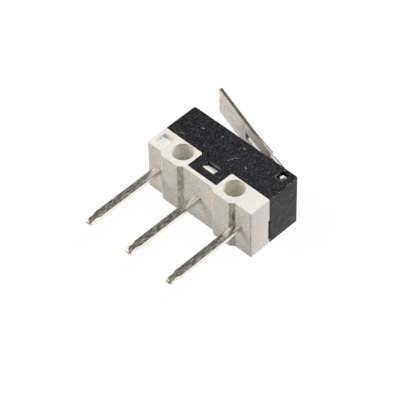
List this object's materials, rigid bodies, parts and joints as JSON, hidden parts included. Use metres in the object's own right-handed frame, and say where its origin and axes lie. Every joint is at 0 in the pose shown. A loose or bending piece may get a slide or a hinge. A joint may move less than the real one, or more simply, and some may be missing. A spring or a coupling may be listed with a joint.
{
  "type": "snap-action micro switch",
  "caption": "Subminiature snap-action switch with a hinged lever, a black cover over a white base with mounting holes, and long straight solder pins.",
  "frame": {"origin": "midway between the axes of the mounting holes, on the broad face that the switch lies on", "axes": "+X along the housing towards the lever's hinge, +Y from the solder pins towards the lever, +Z through the thickness along the mounting holes"},
  "size_m": [0.0139, 0.0198, 0.0058],
  "materials": {
    "base_plastic": "off-white glass-filled thermoplastic, satin as moulded",
    "cover_plastic": "black thermoplastic with a fine matt grain",
    "plunger_plastic": "black thermoplastic, smooth",
    "lever_steel": "stamped stainless strip, dull rolled faces and sheared edges",
    "terminal_metal": "stamped brass strip under bright grey plating",
    "contact_metal": "silver alloy",
    "blade_metal": "thin copper alloy spring strip"
  },
  "bodies": {
    "housing": {"base": "base_plastic", "cover": "cover_plastic", "common_terminal": "terminal_metal", "normally_open_terminal": "terminal_metal", "normally_closed_terminal": "terminal_metal", "normally_open_contact": "contact_metal", "normally_closed_contact": "contact_metal", "spring_blade": "blade_metal"},
    "lever": {"lever": "lever_steel"},
    "plunger": {"plunger": "plunger_plastic"},
    "moving_contact": {"moving_contact": "contact_metal"}
  },
  "joints": [
    {"name": "lever_hinge", "type": "hinge", "parent": "housing", "child": "lever", "pos_m": [0.00533, 0.00408, 0.0029], "axis": [0, 0, 1], "range_deg": [0, 10], "stiffness_Nm_per_rad": 0.01, "springref_deg": -17.19},
    {"name": "plunger_slide", "type": "slide", "parent": "housing", "child": "plunger", "axis": [0, -1, 0], "range_m": [0, 0.00077]},
    {"name": "contact_swing", "type": "hinge", "parent": "housing", "child": "moving_contact", "pos_m": [0.0052, 0.00278, 0.0029], "axis": [0, 0, 1], "range_deg": [0, 2.3], "deforming": ["spring_blade"]}
  ],
  "couplings": [
    {"joint": "plunger_slide", "follows": "lever_hinge", "m_per_rad": 0.00441},
    {"joint": "contact_swing", "follows": "lever_hinge", "ratio": 0.225}
  ]
}
